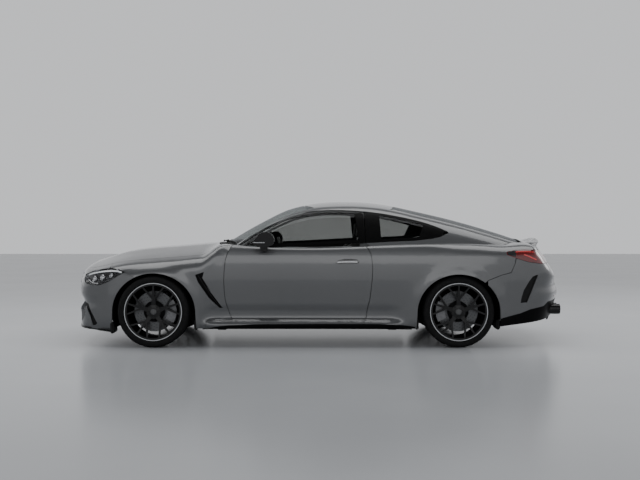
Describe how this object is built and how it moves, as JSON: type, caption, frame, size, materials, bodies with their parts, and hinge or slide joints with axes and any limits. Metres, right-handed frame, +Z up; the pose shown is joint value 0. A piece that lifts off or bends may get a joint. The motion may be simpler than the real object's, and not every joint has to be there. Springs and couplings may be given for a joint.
{
  "type": "coupe car",
  "caption": "Two-door coupe car with hinged doors, bonnet and boot lid, steered front wheels and rolling wheels.",
  "frame": {"origin": "on the ground at the centre of the car's bounding box", "axes": "+X to the rear of the car, +Y to its right side, +Z up"},
  "size_m": [4.8515, 2.03, 1.3981],
  "materials": {
    "paint": "gloss metallic grey paint",
    "black_gloss": "gloss black",
    "black_matte": "matt black",
    "bright_trim": "bright vertical bars",
    "glass": "tinted",
    "lamp_clear": "clear lamp cover",
    "lamp_red": "red lamp cover",
    "tyre": "black rubber",
    "rim": "black painted alloy",
    "disc": "machined grey",
    "caliper": "grey paint",
    "chassis": "cast",
    "engine": "dark casting",
    "leather": "black",
    "steel": "brushed"
  },
  "bodies": {
    "body": {"headlamps": "lamp_clear", "cowl": "black_matte", "front_bumper": "paint", "front_grille": "bright_trim", "intake_grilles": "black_gloss", "front_fenders": "paint", "quarter_windows": "glass", "roof": "paint", "windscreen": "glass", "rear_window": "glass", "body_sides": "paint", "tail_lamps": "lamp_red", "rear_bumper": "paint", "diffuser": "black_gloss", "exhaust": "steel", "rear_calipers": "caliper", "front_axle": "chassis", "rear_axle": "chassis", "engine": "engine", "floor_pan": "black_matte", "front_rails": "chassis", "boot_tub": "black_matte", "front_housings": "black_matte", "rear_housings": "black_matte", "dashboard": "black_matte", "front_seats": "leather", "rear_seat": "leather"},
    "bonnet": {"bonnet": "paint"},
    "boot_lid": {"boot_lid": "paint", "boot_lamp": "lamp_red"},
    "steering_wheel": {"steering_wheel": "leather"},
    "door_left": {"door_left": "paint", "door_glass_left": "glass", "mirror_left": "black_gloss"},
    "knuckle_left": {"knuckle_left": "chassis", "caliper_front_left": "caliper"},
    "wheel_front_left": {"tyre_front_left": "tyre", "rim_front_left": "rim", "disc_front_left": "disc"},
    "wheel_rear_left": {"tyre_rear_left": "tyre", "rim_rear_left": "rim", "disc_rear_left": "disc"},
    "door_right": {"door_right": "paint", "door_glass_right": "glass", "mirror_right": "black_gloss"},
    "knuckle_right": {"knuckle_right": "chassis", "caliper_front_right": "caliper"},
    "wheel_front_right": {"tyre_front_right": "tyre", "rim_front_right": "rim", "disc_front_right": "disc"},
    "wheel_rear_right": {"tyre_rear_right": "tyre", "rim_rear_right": "rim", "disc_rear_right": "disc"}
  },
  "joints": [
    {"name": "bonnet_hinge", "type": "hinge", "parent": "body", "child": "bonnet", "pos_m": [-0.925, 0, 0.955], "axis": [0, 1, 0], "range_deg": [0, 58]},
    {"name": "boot_hinge", "type": "hinge", "parent": "body", "child": "boot_lid", "pos_m": [1.97, 0, 1], "axis": [0, -1, 0], "range_deg": [0, 70]},
    {"name": "steering_column", "type": "hinge", "parent": "body", "child": "steering_wheel", "pos_m": [-0.35, -0.37, 0.86], "axis": [0.9272, 0, 0.3746], "range_deg": [-450, 450]},
    {"name": "door_left_hinge", "type": "hinge", "parent": "body", "child": "door_left", "pos_m": [-0.906, -0.92, 0.6], "axis": [0, 0, -1], "range_deg": [0, 62]},
    {"name": "steer_left", "type": "hinge", "parent": "body", "child": "knuckle_left", "pos_m": [-1.57, -0.8, 0.337], "axis": [0, 0, 1], "range_deg": [-32, 32]},
    {"name": "spin_front_left", "type": "hinge", "parent": "knuckle_left", "child": "wheel_front_left", "pos_m": [-1.57, -0.822, 0.337], "axis": [0, 1, 0], "continuous": true},
    {"name": "spin_rear_left", "type": "hinge", "parent": "body", "child": "wheel_rear_left", "pos_m": [1.307, -0.812, 0.336], "axis": [0, 1, 0], "continuous": true},
    {"name": "door_right_hinge", "type": "hinge", "parent": "body", "child": "door_right", "pos_m": [-0.906, 0.92, 0.6], "axis": [0, 0, 1], "range_deg": [0, 62]},
    {"name": "steer_right", "type": "hinge", "parent": "body", "child": "knuckle_right", "pos_m": [-1.57, 0.8, 0.337], "axis": [0, 0, 1], "range_deg": [-32, 32]},
    {"name": "spin_front_right", "type": "hinge", "parent": "knuckle_right", "child": "wheel_front_right", "pos_m": [-1.57, 0.822, 0.337], "axis": [0, 1, 0], "continuous": true},
    {"name": "spin_rear_right", "type": "hinge", "parent": "body", "child": "wheel_rear_right", "pos_m": [1.307, 0.812, 0.336], "axis": [0, 1, 0], "continuous": true}
  ],
  "couplings": [
    {"joint": "steer_right", "follows": "steer_left", "ratio": 1},
    {"joint": "steering_column", "follows": "steer_left", "ratio": 14}
  ]
}
